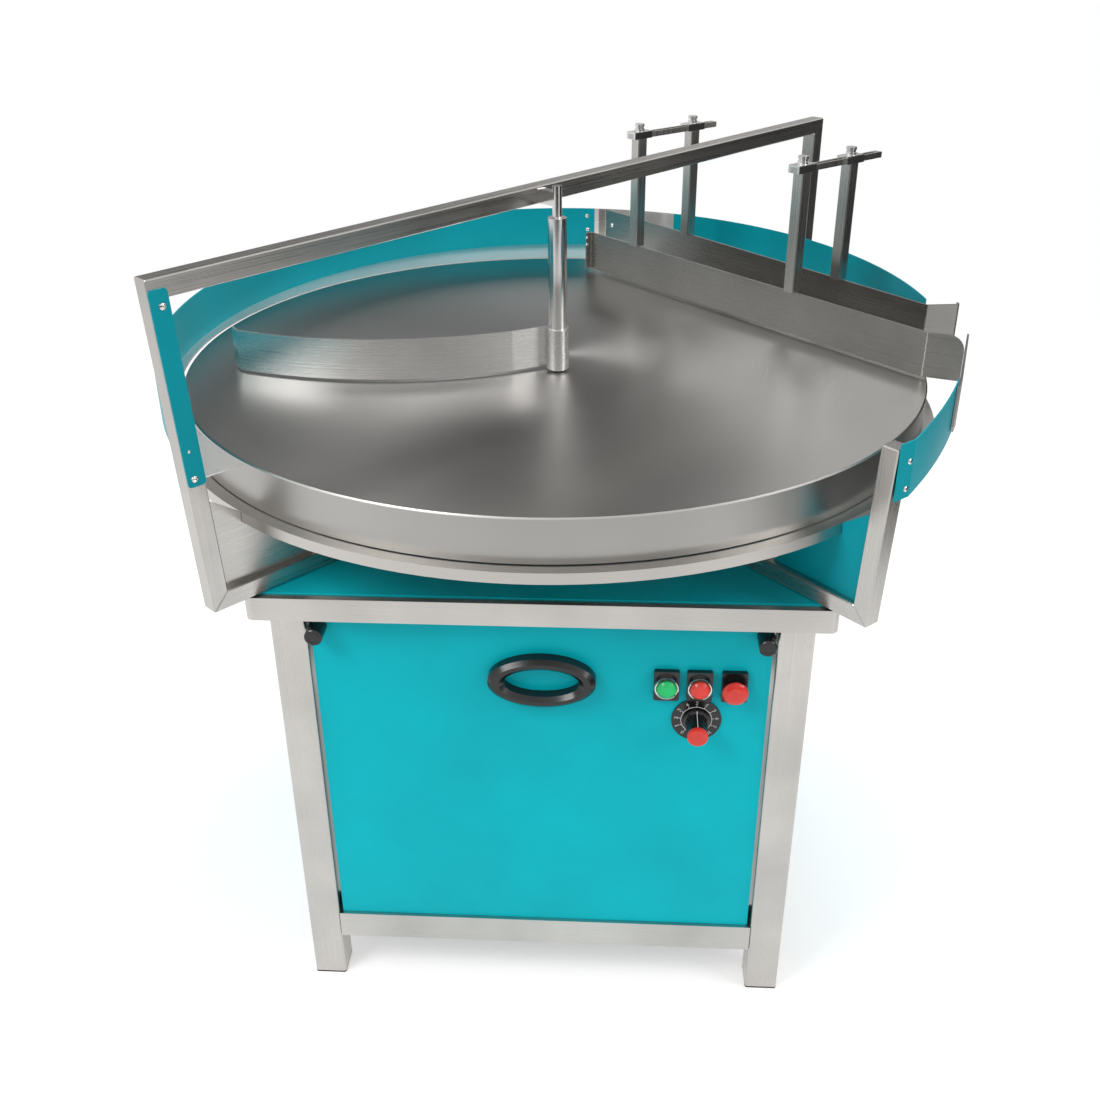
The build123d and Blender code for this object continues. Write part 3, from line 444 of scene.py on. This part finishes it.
# Each numeral as one run of strokes on the grid
NUMERALS = {
    "0": ((0, 1), (0, 3), (1, 4), (2, 3), (2, 1), (1, 0), (0, 1)),
    "1": ((0.4, 3.2), (1.2, 4), (1.2, 0)),
    "2": ((0, 3.2), (1, 4), (2, 3.2), (2, 2.6), (0, 0), (2, 0)),
    "3": ((0, 4), (2, 4), (0.9, 2.4), (2, 1.6), (2, 0.8), (1, 0), (0, 0.5)),
    "4": ((1.5, 0), (1.5, 4), (0, 1.2), (2, 1.2)),
    "5": ((2, 4), (0.2, 4), (0.1, 2.3), (1.3, 2.4), (2, 1.5), (1.4, 0.1), (0, 0.1)),
    "6": ((1.7, 4), (0.3, 2.2), (0, 1), (1, 0), (2, 1), (1.2, 2.2), (0.3, 1.8)),
    "7": ((0, 4), (2, 4), (0.7, 0)),
    "8": ((1, 2.2), (0.1, 3.1), (1, 4), (1.9, 3.1), (1, 2.2), (0, 1.1), (1, 0), (2, 1.1), (1, 2.2)),
    "9": ((1.8, 2.4), (1, 1.8), (0, 2.9), (1, 4), (2, 3), (1.7, 1.6), (0.6, 0)),
}

# Red cap on the speed knob's tip, and the pointer as reach from the axis and height over the dial
KNOB_TIP = 40.3
CAP_PROFILE = ((14.2, -3.4), (14.6, -2.8), (14.6, 1.4), (14.0, 2.6), (12.4, 3.2), (6.0, 3.5), (0.5, 3.5))
POINTER_LINE = ((18.9, 6.35), (16.05, 8.35), (13.2, 37.5))
POINTER_PROUD = 0.25


def stroke(start, end, turn):
    """Raised printed stroke between two points of the dial's face, turned about its middle."""
    start = Matrix.Rotation(-turn, 2) @ Vector(start)
    end = Matrix.Rotation(-turn, 2) @ Vector(end)
    run = (end - start).normalized() * STROKE / 2
    side = Vector((-run.y, run.x))
    corners = (start - run - side, end + run - side, end + run + side, start - run + side)
    return [[(*corner, height) for corner in corners] for height in (-PRINT_SUNK, PRINT_RISE)]


def dial_strokes():
    """Numbers 0 to 10, each with a tick below it, clockwise as the user sees the dial."""
    wide, tall = NUMERAL_SIZE
    columns, rows = NUMERAL_GRID
    strokes = []
    for number in range(DIAL_STEPS + 1):
        turn = DIAL_SWEEP * (number / DIAL_STEPS - 0.5)
        digits = str(number)
        left = -(len(digits) * wide + (len(digits) - 1) * DIGIT_GAP) / 2
        for digit in digits:
            points = [(left + x * wide / columns, NUMERAL_REACH + (y / rows - 0.5) * tall)
                      for x, y in NUMERALS[digit]]
            strokes += [stroke(start, end, turn) for start, end in zip(points, points[1:])]
            left += wide + DIGIT_GAP
        strokes.append(stroke(*TICK, turn))
    return strokes


def pointer_loops():
    """White line up the knob's skirt and body."""
    half = STROKE / 2
    loops = []
    for reach, height in POINTER_LINE:
        low, high = reach - POINTER_PROUD, reach + POINTER_PROUD
        loops.append([(-half, low, height), (half, low, height), (half, high, height), (-half, high, height)])
    return loops


def turned(profile):
    return [circle(radius, height) for radius, height in profile]


def add_controls():
    for name, across in COLLAR_PLACES.items():
        small_piece(name, [turned(COLLAR_PROFILE)], STEEL_POLISHED, "front_door",
                    seat((across, PANEL_FACE, BUTTON_HEIGHT), FRONT), ring=True)
    for body, across in KNOB_PLACES.items():
        small_piece(body + "_ring", [turned(KNOB_RING_PROFILE)], PLASTIC_BLACK, body,
                    seat((across, KNOB_FACE, KNOB_HEIGHT), FRONT), ring=True)
    on_dial = seat(DIAL_PLACE, FRONT)
    small_piece("dial_circle", [turned(DIAL_CIRCLE)], PLASTIC_WHITE, "front_door",
                on_dial, ring=True)
    small_piece("dial_numbers", dial_strokes(), PLASTIC_WHITE, "front_door", on_dial)
    small_piece("speed_pointer", [pointer_loops()], PLASTIC_WHITE, "speed", on_dial)
    small_piece("speed_cap", [turned(CAP_PROFILE)], PLASTIC_RED, "speed",
                seat(DIAL_PLACE + FRONT * KNOB_TIP, FRONT))


# Ribbed rubber pads on the long sides of the clamp blocks
PAD_BACK = 10.8
PAD_GROOVE = 11.7
PAD_RIB = 12.4
PAD_HALF = 19.0
PAD_HEIGHTS = (1179.0, 1189.0)
PAD_RIBS = 9
# Places along the lane, and for each row the reach across it at those places and the body
CLAMP_PLACES = (-208.0, 166.0)
CLAMP_ROWS = {"front": ((357.5, 357.5), "base"), "rear": ((485.75, 470.77), "rear_lane")}


def pad_loops(along, across, way):
    """Lower and upper outline of a pad whose ribs stand out along the lane, forward or back."""
    outline = []
    for step in range(2 * PAD_RIBS + 1):
        depth = PAD_RIB if step % 2 else PAD_GROOVE
        outline.append((depth, PAD_HALF * (step / PAD_RIBS - 1)))
    outline += [(PAD_BACK, PAD_HALF), (PAD_BACK, -PAD_HALF)]
    flat = [LANE_ALONG * (along + way * depth) + LANE_ACROSS * (across + reach) for depth, reach in outline]
    return [[(point.x, point.y, height) for point in flat] for height in PAD_HEIGHTS]


def add_clamp_pads():
    for row, (reaches, body) in CLAMP_ROWS.items():
        for index, (along, across) in enumerate(zip(CLAMP_PLACES, reaches)):
            for side, way in (("near", -1), ("far", 1)):
                small_piece(f"clamp_pad_{row}_{index}_{side}", [pad_loops(along, across, way)],
                            RUBBER_PAD, body)


# Studio, in metres
AMBIENT = 0.55
# Place, target, size and power
LAMPS = {
    "key": ((-2.2, -2.2, 3.4), (0, 0, 0.8), (1.6, 1.6), 60),
    "fill": ((2.9, -1.4, 2.6), (0, 0, 0.7), (1.2, 1.8), 32),
    "top": ((0.4, 1.6, 3.2), (0, 0, 0.9), (1.2, 0.8), 24),
}
FLOOR_PLACE = (0, 0.65, 0)
FLOOR_SIZE = (5.4, 4.8)
FLOOR_LIFT = 0.44
UPRIGHT = math.pi / 2
# Grey cards that only reflections show: place, size, turn about the axes, grey
CARDS = {
    "card_back": ((0.2, 3.4, 3.2), (5.0, 2.7), (UPRIGHT, 0, 0), 0.08),
    "card_top": ((0.5, 1.8, 4.2), (3.2, 2.4), (0.35, 0, 0), 0.16),
    "card_front": ((0.0, -4.6, 0.95), (7.5, 2.1), (UPRIGHT, 0, 0), 0.05),
    "card_right": ((1.85, 0.7, 0.75), (3.6, 1.5), (UPRIGHT, 0, UPRIGHT), 0.05),
}


def set_camera():
    forward = Vector((math.sin(CAMERA_YAW) * math.cos(CAMERA_PITCH),
                      math.cos(CAMERA_YAW) * math.cos(CAMERA_PITCH),
                      -math.sin(CAMERA_PITCH)))
    right = Vector((math.cos(CAMERA_YAW), -math.sin(CAMERA_YAW), 0))
    up = right.cross(forward)
    turned_right = math.cos(CAMERA_ROLL) * right + math.sin(CAMERA_ROLL) * up
    turned_up = -math.sin(CAMERA_ROLL) * right + math.cos(CAMERA_ROLL) * up
    turn = Matrix((turned_right, turned_up, -forward)).transposed()
    data = bpy.data.cameras.new("camera")
    data.lens = CAMERA_LENS
    data.sensor_width = SENSOR
    camera = bpy.data.objects.new("camera", data)
    camera.matrix_world = Matrix.Translation(CAMERA_PLACE) @ turn.to_4x4()
    bpy.context.scene.collection.objects.link(camera)
    bpy.context.scene.camera = camera


def add_lamps():
    for name, (place, target, size, power) in LAMPS.items():
        data = bpy.data.lights.new(name, "AREA")
        data.shape = "RECTANGLE"
        data.size, data.size_y = size
        data.energy = power
        lamp = bpy.data.objects.new(name, data)
        lamp.location = place
        lamp.rotation_euler = (Vector(target) - Vector(place)).to_track_quat("-Z", "Y").to_euler()
        bpy.context.scene.collection.objects.link(lamp)


def seen_share(owner):
    """One where a camera, glossy or transmission ray looks, else nought."""
    path = node(owner, "ShaderNodeLightPath")
    total = path.outputs["Is Camera Ray"]
    for kind in ("Is Glossy Ray", "Is Transmission Ray"):
        add = node(owner, "ShaderNodeMath", operation="ADD", use_clamp=True)
        link(owner, total, add.inputs[0])
        link(owner, path.outputs[kind], add.inputs[1])
        total = add.outputs["Value"]
    return total


def set_world():
    """White background to the camera and in the metal, even light to everything else."""
    world = bpy.data.worlds.new("studio")
    bpy.context.scene.world = world
    world.use_nodes = True
    even = world.node_tree.nodes["Background"]
    even.inputs["Color"].default_value = (1, 1, 1, 1)
    even.inputs["Strength"].default_value = AMBIENT
    white = node(world, "ShaderNodeBackground")
    white.inputs["Color"].default_value = (1, 1, 1, 1)
    mix = node(world, "ShaderNodeMixShader")
    link(world, seen_share(world), mix.inputs["Fac"])
    link(world, even.outputs["Background"], mix.inputs[1])
    link(world, white.outputs["Background"], mix.inputs[2])
    link(world, mix.outputs["Shader"], world.node_tree.nodes["World Output"].inputs["Surface"])


def stage_sheet(name, size, material):
    """Flat sheet of the studio, not part of the machine."""
    mesh = bpy.data.meshes.new(name)
    builder = bmesh.new()
    bmesh.ops.create_grid(builder, x_segments=1, y_segments=1, size=0.5)
    bmesh.ops.transform(builder, matrix=Matrix.Diagonal((*size, 1, 1)), verts=builder.verts)
    builder.to_mesh(mesh)
    builder.free()
    mesh.materials.append(material)
    sheet = bpy.data.objects.new(name, mesh)
    bpy.context.scene.collection.objects.link(sheet)
    return sheet


def add_floor():
    """Floor that shows white to the camera and in the metal, and keeps the machine's soft shadow."""
    material, shader = new_material("floor", FLOOR_WHITE, metallic=0.0, roughness=0.9)
    shader.inputs["Specular IOR Level"].default_value = 0.0
    shader.inputs["Emission Color"].default_value = (1, 1, 1, 1)
    lift = node(material, "ShaderNodeMath", operation="MULTIPLY")
    lift.inputs[1].default_value = FLOOR_LIFT
    link(material, seen_share(material), lift.inputs[0])
    link(material, lift.outputs["Value"], shader.inputs["Emission Strength"])
    floor = stage_sheet("floor", FLOOR_SIZE, material)
    floor.location = FLOOR_PLACE


def add_cards():
    for name, (place, size, turn, grey) in CARDS.items():
        material, shader = new_material(name, (grey, grey, grey), metallic=0.0, roughness=1.0)
        shader.inputs["Specular IOR Level"].default_value = 0.0
        card = stage_sheet(name, size, material)
        card.location = place
        card.rotation_euler = turn
        card.visible_camera = False
        card.visible_diffuse = False
        card.visible_shadow = False


set_camera()
set_world()
add_floor()
add_cards()
add_lamps()
dress_nodes()
add_screws()
add_controls()
add_clamp_pads()

bpy.context.scene.view_settings.view_transform = "Standard"
